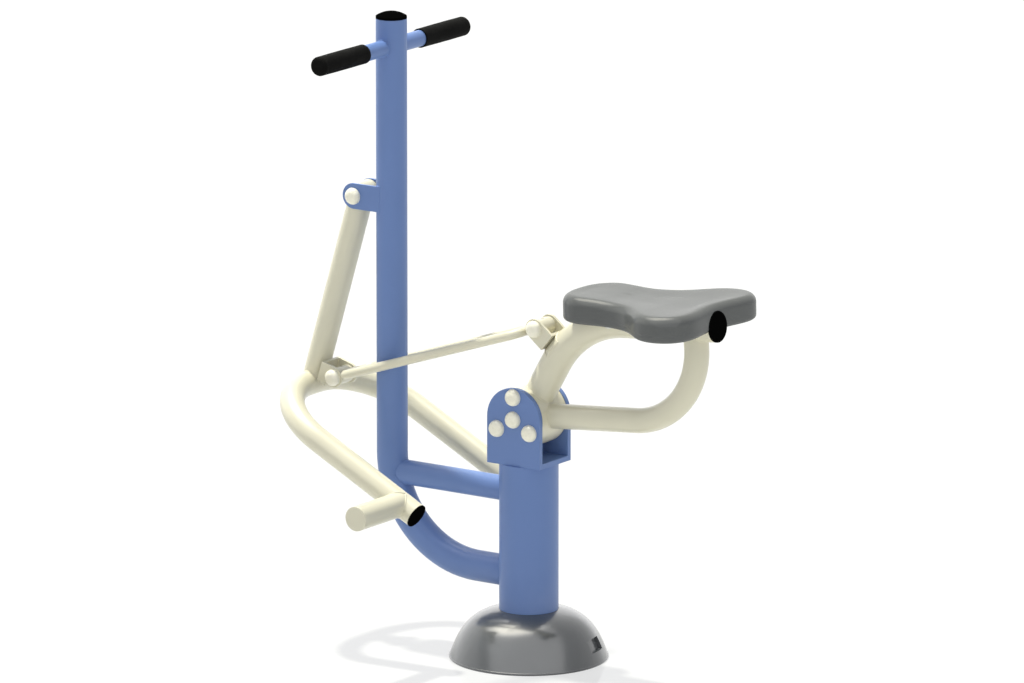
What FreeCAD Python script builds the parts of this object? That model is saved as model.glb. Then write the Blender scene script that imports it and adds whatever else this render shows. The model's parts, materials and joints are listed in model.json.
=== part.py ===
import FreeCAD, Part
import math
import os

os.makedirs("parts", exist_ok=True)
V = FreeCAD.Vector
Y = V(0, 1, 0)
Z = V(0, 0, 1)

# Outdoor seated rider exerciser. X runs from the handle post (minus) to the seat (plus),
# Y runs away from the viewer, Z is up. The origin is on the floor under the main post.
# Lengths are millimetres, angles degrees. Everything is drawn in the rest pose.

# ground fixing and main post
base_od = 280.0
base_thick = 12.0
anchor_pcd = 210.0
anchor_hole_r = 9.0
anchor_count = 4
post_od = 114.0
post_wall = 4.5
gusset_reach = 44.0
gusset_rise = 58.0
gusset_thick = 8.0
dome_wall = 3.5
dome_clear = 0.3
dome_profile = [(152.0, 5.0), (146.5, 20.0), (137.5, 40.0), (125.0, 59.0), (117.0, 68.0),
                (104.0, 78.5), (88.0, 87.0), (70.0, 93.0)]
dome_top = 96.0
pocket_wide = 48.0
pocket_high = 23.0
pocket_depth = 9.0
pocket_height = 36.5
pocket_bearing = 11.5

# fork that carries the seat frame
axle_z = 476.0
fork_floor_z = 385.0
fork_plate = 10.0
fork_length = 122.0
fork_width = 105.0
hub_bolt_pcd = 87.0
hub_bolt_count = 3

# handle post, brace and handlebar
handle_x = -320.0
handle_od = 60.0
handle_wall = 3.0
handle_top = 1211.5
handle_foot_z = 162.5
handle_bend = 200.0
brace_od = 48.0
brace_wall = 3.0
brace_z = 324.0
bar_z = 1156.5
bar_od = 32.0
bar_wall = 2.5
grip_od = 38.0
grip_inner = 92.0
grip_outer = 242.5
grip_end = 5.0
cap_height = 13.5
cap_rim = 4.5

# pivot places in the XZ plane
lever_pivot = (-389.9, 860.0)
link_pivot_lever = (-440.0, 495.5)
link_pivot_seat = (31.2, 652.5)

# foot lever and yoke
lever_od = 48.0
lever_wall = 3.0
lever_lean = 16.74
lever_length = 402.8
yoke_drop = 27.2
yoke_half = 165.0
yoke_bend = 146.0
yoke_reach = 402.5
peg_reach = 363.0
peg_end = 314.0
peg_wall = 3.0
disc_thick = 5.0

# seat frame, drawn level and then turned by the rest tilt about the axle
rest_tilt = 5.1
drum_r = 60.5
upper_od = 60.0
upper_wall = 3.0
upper_angle = 55.2
upper_bend = 202.0
upper_rise = 189.0
upper_end = 449.0
lower_od = 48.0
lower_wall = 3.0
lower_corner = 399.6
lower_bend = 150.0

# stops of the swing, under the drum; the bearing leans them towards the handle post
swing = 20.0
stop_bearing = 16.0
lug_high = 14.0
lug_thick = 12.0
lug_half = 12.0
buffer_long = 12.0

# small link forks: two ears and a base plate
ear_plate = 6.0
ear_inside = 44.0
ear_r = 19.8
lever_ear_r = 25.0
weld_wrap = 0.5
lever_ear_inside = 49.0
lever_ear_plate = 5.0

# link loop and its two eyes
loop_bar = 18.0
loop_half = 45.0
loop_bend = 22.0
eye_to_cross = 33.0
eye_od = 33.0
eye_bore_r = 12.0
neck_wide = 30.0
neck_high = 16.0
plug_r = 2.5

# pins, bearings and fits
pin_r = 6.0
pin_clear = 0.05
open_clear = 3.2
hole_clear = 0.5
side_clear = 1.0
lever_pin_r = 8.0
axle_r = 20.0
bearing_r = 40.0
bearing_wide = 18.0
hub_disc_r = 54.0
hub_disc_thick = 8.0
head_across = 19.0
head_high = 7.5
dome_cap_r = 16.5
dome_cap_high = 13.0

# seat
seat_front_top = 736.0
seat_slope = 0.023
seat_thick = 49.5
seat_top_round = 17.0
seat_bottom_round = 8.0
seat_half = [(105.0, 0.0), (106.0, 22.0), (110.0, 40.5), (119.0, 59.5), (135.0, 76.0), (157.0, 86.0),
             (185.0, 86.5), (215.0, 84.5), (248.0, 87.0), (278.0, 96.5), (308.0, 116.5),
             (336.0, 141.0), (358.0, 154.0), (380.0, 158.5), (401.0, 156.0), (419.0, 146.5),
             (433.0, 129.5), (440.5, 105.5), (440.0, 79.0), (434.5, 47.0), (430.5, 19.0),
             (429.5, 0.0)]
channel_clear = 0.5
cleat_x = [215.0, 345.0]
cleat_size = 40.0
cleat_thick = 4.0
cleat_out = 61.0
cleat_bolt_y = 46.0
seat_bolt_r = 4.0


def save(node, *solids):
    """Write one node as a STEP file; several solids share the file."""
    solids = [one for shape in solids for one in shape.Solids]
    shape = solids[0] if len(solids) == 1 else Part.Compound(solids)
    shape.exportStep("parts/" + node + ".step")
    print(node, len(solids), round(shape.Volume / 1000.0, 1), "cm3")
    return shape


def cyl(start, end, radius):
    """Solid cylinder between two points."""
    start = V(*start)
    axis = V(*end) - start
    return Part.makeCylinder(radius, axis.Length, start, axis)


def across(x, z, low_y, high_y, radius):
    """Cylinder along Y."""
    return cyl((x, low_y, z), (x, high_y, z), radius)


def block(low, high):
    """Box between two corners."""
    return Part.makeBox(high[0] - low[0], high[1] - low[1], high[2] - low[2], V(*low))


def turned(shape, x, z, angle):
    """Turn a shape about the Y line through (x, z); positive lifts the plus X side."""
    copy = shape.copy()
    copy.rotate(V(x, 0, z), V(0, -1, 0), angle)
    return copy


def mirrored(shape):
    """The same shape on the other side of the middle plane."""
    return shape.mirror(V(0, 0, 0), Y)


def bent_wire(points, bend):
    """Straight runs joined by arcs of one radius."""
    points = [V(*p) for p in points]
    edges = []
    last = points[0]
    for before, corner, after in zip(points, points[1:], points[2:]):
        into = (corner - before).normalize()
        out = (after - corner).normalize()
        half = into.getAngle(out) / 2.0
        cut = bend * math.tan(half)
        start = corner - into * cut
        end = corner + out * cut
        toward = (out - into).normalize()
        middle = corner + toward * (bend / math.cos(half) - bend)
        if (start - last).Length > 0.01:
            edges.append(Part.LineSegment(last, start).toShape())
        edges.append(Part.Arc(start, middle, end).toShape())
        last = end
    if (points[-1] - last).Length > 0.01:
        edges.append(Part.LineSegment(last, points[-1]).toShape())
    return Part.Wire(edges)


def rod(points, bend, radius):
    """Solid round bar along a bent path."""
    path = bent_wire(points, bend)
    start = V(*points[0])
    ahead = (V(*points[1]) - start).normalize()
    ring = Part.Wire([Part.makeCircle(radius, start, ahead)])
    return path.makePipeShell([ring], True, True)


def tube(points, bend, od, wall):
    """Hollow round tube along a bent path."""
    return rod(points, bend, od / 2.0).cut(rod(points, bend, od / 2.0 - wall))


def in_plane(flat):
    """Points (x, z) in the middle plane."""
    return [(x, 0.0, z) for x, z in flat]


def hexagon(x, z, y, high, out):
    """Hexagonal head standing out along Y from a face at y."""
    corner = head_across / 2.0 / math.cos(math.radians(30))
    points = []
    for k in range(7):
        a = math.radians(60 * k)
        points.append(V(x + corner * math.cos(a), y, z + corner * math.sin(a)))
    return Part.Face(Part.makePolygon(points)).extrude(V(0, out * high, 0))


def domed(radius, high, rim, edge_round):
    """Round plug head standing on height 0: straight rim, domed top, softened edge."""
    rise = high - rim
    ball = (radius * radius + rise * rise) / (2.0 * rise)
    shape = Part.makeCylinder(radius, high).common(Part.makeSphere(ball, V(0, 0, high - ball)))
    edge = [e for e in shape.Edges if e.Length > 4.0 * radius and abs(e.CenterOfMass.z - rim) < 0.01]
    return shape.makeFillet(edge_round, edge)


def dome_cap(x, z, y, out):
    """Domed bolt cap with a hexagonal pocket, standing out along Y from a face at y."""
    shape = domed(dome_cap_r, dome_cap_high, 8.0, 4.0)
    shape.rotate(V(0, 0, 0), V(1, 0, 0), -90 if out > 0 else 90)
    shape.translate(V(x, y, z))
    return shape.cut(hexagon(x, z, y, head_high, out))


def small_fork(pivot, reach, angle, inside, radius):
    """Two ears round a pivot and a base plate at reach; angle is the way from pivot to base."""
    outer = inside / 2.0 + ear_plate
    px, pz = pivot
    plate = block((px, -outer, pz - radius), (px + reach, outer, pz + radius))
    plate = plate.fuse(across(px, pz, -outer, outer, radius))
    gap = block((px - radius - 1, -inside / 2.0, pz - radius - 1),
                (px + reach - ear_plate, inside / 2.0, pz + radius + 1))
    plate = plate.cut(gap).removeSplitter()
    plate = plate.cut(across(px, pz, -outer - 1, outer + 1, pin_r + hole_clear))
    return turned(plate, px, pz, angle)


def cross_bolt(pivot, outer, radius):
    """Bolt along Y with a head on one side and a nut on the other."""
    px, pz = pivot
    shank = across(px, pz, -outer, outer + head_high, radius)
    head = hexagon(px, pz, -outer, head_high, -1)
    nut = hexagon(px, pz, outer, head_high, 1).cut(across(px, pz, 0, 200, radius))
    return shank.fuse(head).removeSplitter(), nut


# ground fixing and main post
flange = cyl((0, 0, 0), (0, 0, base_thick), base_od / 2.0)
for k in range(anchor_count):
    a = math.radians(45 + 360.0 / anchor_count * k)
    x, y = anchor_pcd / 2.0 * math.cos(a), anchor_pcd / 2.0 * math.sin(a)
    flange = flange.cut(cyl((x, y, -1), (x, y, base_thick + 1), anchor_hole_r))
save("base_flange", flange)

post_r = post_od / 2.0
post_skin = cyl((0, 0, base_thick), (0, 0, fork_floor_z), post_r)
post = post_skin.cut(cyl((0, 0, 0), (0, 0, fork_floor_z + 1), post_r - post_wall))
save("main_post", post)

gussets = []
for k in range(4):
    points = [(post_r - 2, base_thick), (post_r + gusset_reach, base_thick),
              (post_r + gusset_reach, base_thick + 8), (post_r + 6, base_thick + gusset_rise),
              (post_r - 2, base_thick + gusset_rise)]
    outline = Part.makePolygon([V(x, -gusset_thick / 2.0, z) for x, z in points + points[:1]])
    rib = Part.Face(outline).extrude(V(0, gusset_thick, 0)).cut(post_skin)
    rib.rotate(V(0, 0, 0), Z, 90 * k)
    gussets.append(rib)
save("gussets", *gussets)

# The cover is a turned shell with a straight foot and two shallow oblong pockets.
hole_r = post_r + dome_clear
curve = Part.BSplineCurve()
curve.interpolate([V(x, 0, z) for x, z in dome_profile] + [V(hole_r, 0, dome_top)])
first = dome_profile[0]
edges = [Part.LineSegment(V(hole_r, 0, 0), V(first[0], 0, 0)).toShape(),
         Part.LineSegment(V(first[0], 0, 0), V(first[0], 0, first[1])).toShape(),
         curve.toShape(),
         Part.LineSegment(V(hole_r, 0, dome_top), V(hole_r, 0, 0)).toShape()]
dome_full = Part.Face(Part.Wire(edges)).revolve(V(0, 0, 0), Z, 360)
inner = Part.BSplineCurve()
shrunk = [V(x - dome_wall, 0, z - dome_wall * 0.5) for x, z in dome_profile[:4]]
shrunk += [V(x - dome_wall * 0.7, 0, z - dome_wall * 0.8) for x, z in dome_profile[4:]]
shrunk += [V(hole_r - 1, 0, dome_top - dome_wall)]
inner.interpolate(shrunk)
low = shrunk[0]
edges = [Part.LineSegment(V(hole_r - 1, 0, -1), V(low.x, 0, -1)).toShape(),
         Part.LineSegment(V(low.x, 0, -1), low).toShape(),
         inner.toShape(),
         Part.LineSegment(shrunk[-1], V(hole_r - 1, 0, -1)).toShape()]
dome_void = Part.Face(Part.Wire(edges)).revolve(V(0, 0, 0), Z, 360)
dome = dome_full.cut(dome_void)
for k in range(2):
    tool = block((0, -pocket_wide / 2.0, pocket_height - pocket_high / 2.0),
                 (160, pocket_wide / 2.0, pocket_height + pocket_high / 2.0))
    bearing = pocket_bearing + 180 * k
    tool.rotate(V(0, 0, 0), Z, bearing)
    skin = dome_full.copy()
    skin.translate(V(-pocket_depth * math.cos(math.radians(bearing)),
                     -pocket_depth * math.sin(math.radians(bearing)), 0))
    lining = skin.copy()
    lining.translate(V(-dome_wall * math.cos(math.radians(bearing)),
                       -dome_wall * math.sin(math.radians(bearing)), 0))
    half = block((0, -80, 0), (170, 80, 100))
    half.rotate(V(0, 0, 0), Z, bearing)
    grown = block((0, -pocket_wide / 2.0 - dome_wall, pocket_height - pocket_high / 2.0 - dome_wall),
                  (160, pocket_wide / 2.0 + dome_wall, pocket_height + pocket_high / 2.0 + dome_wall))
    grown.rotate(V(0, 0, 0), Z, bearing)
    backing = dome_full.cut(lining).common(grown).common(half)
    dome = dome.fuse(backing)
    dome = dome.cut(dome_full.cut(skin).common(tool).common(half))
save("dome_cover", dome.removeSplitter())

# fork for the seat frame
half_x = fork_length / 2.0
half_y = fork_width / 2.0
inside = half_y - fork_plate
fork = block((-half_x, -half_y, fork_floor_z), (half_x, half_y, axle_z))
fork = fork.fuse(across(0, axle_z, -half_y, half_y, half_x))
fork = fork.cut(block((-half_x - 1, -inside, fork_floor_z + fork_plate),
                      (half_x + 1, inside, axle_z + half_x + 1)))
fork = fork.removeSplitter()
hub_places = [(0.0, axle_z)]
for k in range(hub_bolt_count):
    a = math.radians(90 + 360.0 / hub_bolt_count * k)
    hub_places.append((hub_bolt_pcd / 2.0 * math.cos(a), axle_z + hub_bolt_pcd / 2.0 * math.sin(a)))
for x, z in hub_places:
    fork = fork.cut(across(x, z, -half_y - 1, half_y + 1, pin_r + hole_clear))
save("pivot_fork", fork)

# The fixed axle and the two discs that the six outer bolts hold against the ears.
axle = across(0, axle_z, -inside, inside, axle_r)
for side in (-1, 1):
    low_y, high_y = sorted((side * inside, side * (inside - hub_disc_thick)))
    axle = axle.fuse(across(0, axle_z, low_y, high_y, hub_disc_r))
axle = axle.removeSplitter()
for x, z in hub_places:
    for side in (-1, 1):
        low_y, high_y = sorted((side * inside, side * (inside - hub_disc_thick)))
        axle = axle.cut(across(x, z, low_y, high_y, pin_r))
save("hub_axle", axle)

bolts = []
caps = []
for x, z in hub_places:
    for side in (-1, 1):
        tip = side * (inside - hub_disc_thick)
        low_y, high_y = sorted((tip, side * half_y))
        shank = across(x, z, low_y, high_y, pin_r)
        bolts.append(shank.fuse(hexagon(x, z, side * half_y, head_high, side)).removeSplitter())
        caps.append(dome_cap(x, z, side * half_y, side))
save("hub_bolts", *bolts)
save("hub_caps", *caps)

# handle post, brace and handlebar
handle_path = in_plane([(handle_x, handle_top), (handle_x, handle_foot_z), (0, handle_foot_z)])
handle_skin = rod(handle_path, handle_bend, handle_od / 2.0)
bar_skin = across(handle_x, bar_z, -grip_outer, grip_outer, bar_od / 2.0)
handle = handle_skin.cut(rod(handle_path, handle_bend, handle_od / 2.0 - handle_wall))
handle = handle.cut(post_skin).cut(bar_skin)
handle = max(handle.Solids, key=lambda one: one.Volume)
save("handle_post", handle)

brace_path = in_plane([(handle_x, brace_z), (0, brace_z)])
brace = tube(brace_path, 1.0, brace_od, brace_wall).cut(post_skin).cut(handle_skin)
save("brace_tube", brace)

bar_half = grip_outer - grip_end
bar = across(handle_x, bar_z, -bar_half, bar_half, bar_od / 2.0)
bar = bar.cut(across(handle_x, bar_z, -bar_half - 1, bar_half + 1, bar_od / 2.0 - bar_wall))
save("handlebar", bar)

grip = across(handle_x, bar_z, grip_inner, grip_outer, grip_od / 2.0)
for rim_y, rim_round in ((grip_outer, 8.0), (grip_inner, 1.5)):
    rim = [e for e in grip.Edges if e.Curve.TypeId == "Part::GeomCircle"
           and abs(e.CenterOfMass.y - rim_y) < 0.01]
    grip = grip.makeFillet(rim_round, rim)
grip = grip.cut(across(handle_x, bar_z, 0, bar_half, bar_od / 2.0))
save("handle_grips", grip, mirrored(grip))

# Domed plug on the post top: a spigot goes down inside the tube.
post_cap = domed(handle_od / 2.0, cap_height, cap_rim, 1.0)
post_cap.translate(V(handle_x, 0, handle_top))
spigot = cyl((handle_x, 0, handle_top - 15), (handle_x, 0, handle_top),
             handle_od / 2.0 - handle_wall)
post_cap = post_cap.fuse(spigot).removeSplitter()
save("handle_post_cap", post_cap)

# lever pivot on the handle post
lx, lz = lever_pivot
lever_outer = lever_ear_inside / 2.0 + lever_ear_plate
ears = []
for side in (-1, 1):
    low_y, high_y = sorted((side * lever_ear_inside / 2.0, side * lever_outer))
    ear = block((lx, low_y, lz - lever_ear_r), (handle_x, high_y, lz + lever_ear_r))
    ear = ear.fuse(across(lx, lz, low_y, high_y, lever_ear_r)).removeSplitter()
    ear = ear.cut(across(lx, lz, low_y - 1, high_y + 1, lever_pin_r + hole_clear))
    ear = ear.cut(handle_skin)
    ears.append(max(ear.Solids, key=lambda one: one.Volume))
save("lever_ears", *ears)
lever_bolt, lever_nut = cross_bolt(lever_pivot, lever_outer, lever_pin_r)
save("lever_pivot_bolt", lever_bolt)
save("lever_pivot_nut", lever_nut)
save("lever_pivot_caps", dome_cap(lx, lz, -lever_outer, -1),
     dome_cap(lx, lz, lever_outer, 1).cut(across(lx, lz, 0, lever_outer + head_high, lever_pin_r)))

# foot lever
lean = math.radians(lever_lean)
down = (-math.sin(lean), -math.cos(lean))
yoke_x = lx + lever_length * down[0]
yoke_z = lz + lever_length * down[1]
housing_half = lever_ear_inside / 2.0 - side_clear
bush_r = lever_pin_r + 5.0
housing = across(lx, lz, -housing_half, housing_half, lever_od / 2.0)
housing = housing.cut(across(lx, lz, -30, 30, bush_r))
save("lever_housing", housing)
bushes = []
for side in (-1, 1):
    low_y, high_y = sorted((side * 4.0, side * housing_half))
    ring = across(lx, lz, low_y, high_y, bush_r)
    bushes.append(ring.cut(across(lx, lz, low_y - 1, high_y + 1, lever_pin_r + pin_clear)))
save("lever_bushes", *bushes)

drop = math.radians(yoke_drop)
along = V(math.cos(drop), 0, -math.sin(drop))
rear = V(yoke_x, 0, yoke_z)
corners = [rear + along * yoke_reach - Y * yoke_half, rear - Y * yoke_half,
           rear + Y * yoke_half, rear + along * yoke_reach + Y * yoke_half]
corners = [tuple(p) for p in corners]
yoke_skin = rod(corners, yoke_bend, lever_od / 2.0)
yoke = yoke_skin.cut(rod(corners, yoke_bend, lever_od / 2.0 - lever_wall))
save("yoke_tube", yoke)

lever = tube(in_plane([lever_pivot, (yoke_x, yoke_z)]), 1.0, lever_od, lever_wall)
lever = lever.cut(across(lx, lz, -30, 30, lever_od / 2.0)).cut(yoke_skin)
lever = max(lever.Solids, key=lambda one: one.Volume)
save("lever_tube", lever)

end_discs = []
for side in (-1, 1):
    end = rear + along * yoke_reach + Y * (side * yoke_half)
    disc = Part.makeCylinder(lever_od / 2.0, 2.5, end, along)
    plug = Part.makeCylinder(lever_od / 2.0 - lever_wall, 12.0, end - along * 12.0, along)
    end_discs.append(disc.fuse(plug).removeSplitter())
save("yoke_end_caps", *end_discs)

pegs = []
for side in (-1, 1):
    root = rear + along * peg_reach + Y * (side * yoke_half)
    tip = V(root.x, side * peg_end, root.z)
    peg = cyl(tuple(root), tuple(tip), lever_od / 2.0)
    rim = [e for e in peg.Edges if e.Curve.TypeId == "Part::GeomCircle"
           and abs(abs(e.CenterOfMass.y) - peg_end) < 0.01]
    peg = peg.makeFillet(1.0, rim)
    hollow = cyl(tuple(root), (tip.x, tip.y - side * disc_thick, tip.z), lever_od / 2.0 - peg_wall)
    peg = peg.cut(hollow).cut(yoke_skin)
    pegs.append(max(peg.Solids, key=lambda one: one.Volume))
save("foot_pegs", *pegs)

# link fork on the lever
cx, cz = link_pivot_lever
offset = (cx - lx) * math.cos(lean) - (cz - lz) * math.sin(lean)
lever_fork = small_fork(link_pivot_lever, offset - lever_od / 2.0 + weld_wrap, 180 - lever_lean,
                        ear_inside, ear_r)
lever_skin = cyl((lx, 0, lz), (yoke_x, 0, yoke_z), lever_od / 2.0)
lever_fork = lever_fork.cut(lever_skin)
save("lever_link_fork", *[one for one in lever_fork.Solids if one.Volume > 1000.0])
fork_outer = ear_inside / 2.0 + ear_plate
bolt, nut = cross_bolt(link_pivot_lever, fork_outer, pin_r)
save("lever_link_bolt", bolt)
save("lever_link_nut", nut)
save("lever_link_caps", dome_cap(cx, cz, -fork_outer, -1),
     dome_cap(cx, cz, fork_outer, 1))

# seat frame
drum_half = inside - hub_disc_thick - side_clear
shell_half = inside - 1.5 * side_clear
drum_skin = across(0, axle_z, -shell_half, shell_half, drum_r)
drum = drum_skin.cut(across(0, axle_z, -drum_half, drum_half, bearing_r - 6.0))
seal_thick = 2.0
for side in (-1, 1):
    low_y, high_y = sorted((side * drum_half, side * (shell_half + 1.0)))
    drum = drum.cut(across(0, axle_z, low_y, high_y, hub_disc_r + side_clear))
    low_y, high_y = sorted((side * (drum_half - seal_thick - bearing_wide), side * drum_half))
    drum = drum.cut(across(0, axle_z, low_y, high_y, bearing_r))
# A lug under the drum meets one rubber block at each end of the swing.
lug_tip = drum_r + lug_high
lug = block((-lug_thick / 2.0, -lug_half, axle_z - lug_tip),
            (lug_thick / 2.0, lug_half, axle_z - drum_r + 1.5))
drum = drum.fuse(turned(lug, 0, axle_z, -stop_bearing - swing / 2.0)).removeSplitter()
drum = drum.cut(across(0, axle_z, -drum_half, drum_half, bearing_r - 6.0))
save("hub_drum", drum)
bearings = []
seals = []
for side in (-1, 1):
    ends = [side * (drum_half - seal_thick - bearing_wide), side * (drum_half - seal_thick)]
    low_y, high_y = sorted(ends)
    ring = across(0, axle_z, low_y, high_y, bearing_r)
    bearings.append(ring.cut(across(0, axle_z, low_y - 1, high_y + 1, axle_r + pin_clear)))
    low_y, high_y = sorted((side * (drum_half - seal_thick), side * drum_half))
    ring = across(0, axle_z, low_y, high_y, bearing_r)
    seals.append(ring.cut(across(0, axle_z, low_y - 1, high_y + 1, axle_r + 0.4)))
save("hub_bearings", *bearings)
save("hub_seals", *seals)
half_swing = math.radians(swing / 2.0)
face = lug_tip * math.sin(half_swing) + lug_thick / 2.0 * math.cos(half_swing) + side_clear / 2.0
floor_top = fork_floor_z + fork_plate
under_floor = block((-100, -50, floor_top - 60), (100, 50, floor_top))
buffers = []
for side in (-1, 1):
    low_x, high_x = sorted((side * face, side * (face + buffer_long)))
    buffer = block((low_x, -lug_half - 1, floor_top - 20), (high_x, lug_half + 1, floor_top + 14.0))
    buffers.append(turned(buffer, 0, axle_z, -stop_bearing).cut(under_floor))
save("stop_buffers", *buffers)


def tilted(shape):
    """Turn the level seat frame into its rest pose."""
    return turned(shape, 0, axle_z, rest_tilt)


upper_flat = [(0, axle_z), (upper_rise / math.tan(math.radians(upper_angle)), axle_z + upper_rise),
              (upper_end, axle_z + upper_rise)]
upper_skin = tilted(rod(in_plane(upper_flat), upper_bend, upper_od / 2.0))
upper_hollow = tilted(rod(in_plane(upper_flat), upper_bend, upper_od / 2.0 - upper_wall))
lower_flat = [(0, axle_z), (lower_corner, axle_z), (lower_corner, axle_z + upper_rise)]
lower_skin = tilted(rod(in_plane(lower_flat), lower_bend, lower_od / 2.0))
lower_hollow = tilted(rod(in_plane(lower_flat), lower_bend, lower_od / 2.0 - lower_wall))
upper = upper_skin.cut(upper_hollow).cut(drum_skin)
upper = max(upper.Solids, key=lambda one: one.Volume)
save("seat_upper_tube", upper)
lower = lower_skin.cut(lower_hollow).cut(drum_skin).cut(upper_skin)
lower = max(lower.Solids, key=lambda one: one.Volume)
save("seat_lower_tube", lower)

rear_cap = cyl((upper_end, 0, axle_z + upper_rise), (upper_end + 4, 0, axle_z + upper_rise),
               upper_od / 2.0)
rear_cap = rear_cap.makeFillet(1.5, [e for e in rear_cap.Edges
                                     if abs(e.CenterOfMass.x - upper_end - 4) < 0.01])
plug = cyl((upper_end - 14, 0, axle_z + upper_rise), (upper_end, 0, axle_z + upper_rise),
           upper_od / 2.0 - upper_wall)
save("seat_tube_cap", tilted(rear_cap.fuse(plug).removeSplitter()))

# The link fork stands square to the bend of the upper tube.
sx, sz = link_pivot_seat
bend_x = upper_flat[1][0] + upper_bend * math.tan(math.radians(upper_angle / 2.0))
bend_centre = V(bend_x, 0, axle_z + upper_rise - upper_bend)
bend_mark = Part.Vertex(bend_centre)
bend_mark.rotate(V(0, 0, axle_z), V(0, -1, 0), rest_tilt)
away = bend_mark.Point - V(sx, 0, sz)
fork_angle = math.degrees(math.atan2(away.z, away.x))
fork_reach = away.Length - upper_bend - upper_od / 2.0 + 3.0
seat_fork = small_fork(link_pivot_seat, fork_reach, fork_angle, ear_inside, ear_r)
seat_fork = seat_fork.cut(upper_skin)
save("seat_link_fork", max(seat_fork.Solids, key=lambda one: one.Volume))
bolt, nut = cross_bolt(link_pivot_seat, fork_outer, pin_r)
save("seat_link_bolt", bolt)
save("seat_link_nut", nut)
save("seat_link_caps", dome_cap(sx, sz, -fork_outer, -1), dome_cap(sx, sz, fork_outer, 1))

# seat: plan outline, straight sides, rounded rims
outline = [V(x, y, 0) for x, y in seat_half]
outline += [V(x, -y, 0) for x, y in reversed(seat_half[1:-1])]
plan = Part.BSplineCurve()
plan.interpolate(outline, PeriodicFlag=True)
seat = Part.Face(Part.Wire([plan.toShape()])).extrude(V(0, 0, seat_thick))
top_rim = [e for e in seat.Edges if abs(e.BoundBox.ZMin - seat_thick) < 0.01]
seat = seat.makeFillet(seat_top_round, top_rim)
bottom_rim = [e for e in seat.Edges if abs(e.BoundBox.ZMax) < 0.01]
seat = seat.makeFillet(seat_bottom_round, bottom_rim)
seat_angle = math.degrees(math.atan(seat_slope))
seat.translate(V(0, 0, seat_front_top - seat_thick))
seat = turned(seat, 0, seat_front_top, seat_angle)
channel = tilted(rod(in_plane(upper_flat), upper_bend, upper_od / 2.0 + channel_clear))
below = channel.copy()
below.translate(V(0, 0, -12))
cap_room = tilted(cyl((upper_end - 1, 0, axle_z + upper_rise),
                      (upper_end + 60, 0, axle_z + upper_rise), upper_od / 2.0 + channel_clear))
seat = seat.cut(channel).cut(below).cut(cap_room)
seat = max(seat.Solids, key=lambda one: one.Volume)


def on_seat(shape):
    """Move a shape drawn with the seat's underside at height 0 to its place."""
    copy = shape.copy()
    copy.translate(V(0, 0, seat_front_top - seat_thick))
    return turned(copy, 0, seat_front_top, seat_angle)


cleats = []
seat_bolts = []
for x in cleat_x:
    for side in (-1, 1):
        low_y, high_y = sorted((side * (upper_od / 2.0 - 6.0), side * cleat_out))
        plate = block((x - cleat_size / 2.0, low_y, -cleat_thick), (x + cleat_size / 2.0, high_y, 0))
        bolt_y = side * cleat_bolt_y
        hole = cyl((x, bolt_y, -20), (x, bolt_y, 20), seat_bolt_r + hole_clear)
        cleats.append(max(on_seat(plate.cut(hole)).cut(upper_skin).cut(lower_skin).Solids,
                          key=lambda one: one.Volume))
        shank = cyl((x, bolt_y, -cleat_thick), (x, bolt_y, 26), seat_bolt_r)
        head = cyl((x, bolt_y, -cleat_thick - 4.5), (x, bolt_y, -cleat_thick), 7.0)
        seat = seat.cut(on_seat(cyl((x, bolt_y, -1), (x, bolt_y, 26), seat_bolt_r)))
        seat_bolts.append(on_seat(shank.fuse(head).removeSplitter()))
save("seat", seat)
save("seat_cleats", *cleats)
save("seat_bolts", *seat_bolts)

# link between the foot lever and the seat frame, drawn level at the seat pivot
link_length = math.hypot(sx - cx, sz - cz)
link_angle = math.degrees(math.atan2(sz - cz, sx - cx))


def on_link(shape):
    """Place a shape drawn along X from the lever pivot at the origin."""
    copy = shape.copy()
    copy.translate(V(cx, 0, cz))
    return turned(copy, cx, cz, link_angle)


def plumb(shape, x):
    """Turn a shape about the eye at x so that its local Z becomes truly vertical."""
    return turned(shape, x, 0, -link_angle)


near_x = eye_to_cross
far_x = link_length - eye_to_cross
loop_points = [(near_x, 0, 0), (near_x, -loop_half, 0), (far_x, -loop_half, 0), (far_x, 0, 0)]
half_loop = rod(loop_points, loop_bend, loop_bar / 2.0)
loop = half_loop.fuse(mirrored(half_loop)).removeSplitter()
save("link_loop", on_link(loop))
eye_half = ear_inside / 2.0 - side_clear
for node, x, way in (("link_eye_lever", 0.0, 1), ("link_eye_seat", link_length, -1)):
    eye = across(x, 0, -eye_half, eye_half, eye_od / 2.0)
    reach = eye_to_cross - loop_bar / 2.0 + 4.0
    low_x, high_x = sorted((x, x + way * reach))
    neck = block((low_x, -neck_wide / 2.0, -neck_high / 2.0), (high_x, neck_wide / 2.0, neck_high / 2.0))
    eye = eye.fuse(neck).removeSplitter().cut(across(x, 0, -50, 50, eye_bore_r)).cut(loop)
    eye = max(eye.Solids, key=lambda one: one.Volume)
    eye = eye.cut(plumb(cyl((x, 0, 0), (x, 0, 40), plug_r), x))
    save(node, on_link(eye))
link_bushes = []
for x, bore in ((0.0, pin_r + open_clear), (link_length, pin_r + pin_clear)):
    ring = across(x, 0, -eye_half, eye_half, eye_bore_r)
    link_bushes.append(on_link(ring.cut(across(x, 0, -50, 50, bore))))
save("link_bush_lever", link_bushes[0])
save("link_bush_seat", link_bushes[1])
plugs = []
for x in (0.0, link_length):
    stem = cyl((x, 0, 0), (x, 0, eye_od / 2.0 - 1.0), plug_r).cut(across(x, 0, -20, 20, eye_bore_r))
    plugs.append(on_link(plumb(stem, x)))
save("grease_plugs", *plugs)
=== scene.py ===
# %% [markdown]
# # Seated rider exerciser for a park
# The real machine is welded from painted steel tube. A short main post rises out of a domed
# cover, a tall post carries the handlebar, a rocking frame carries the saddle, and a foot yoke
# hangs from the tall post. The exact model already holds every size, so this lesson only adds
# looks: finishes, small details, light and camera. Loading it first means that each new piece
# is placed by measuring the model and never by eye.

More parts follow.
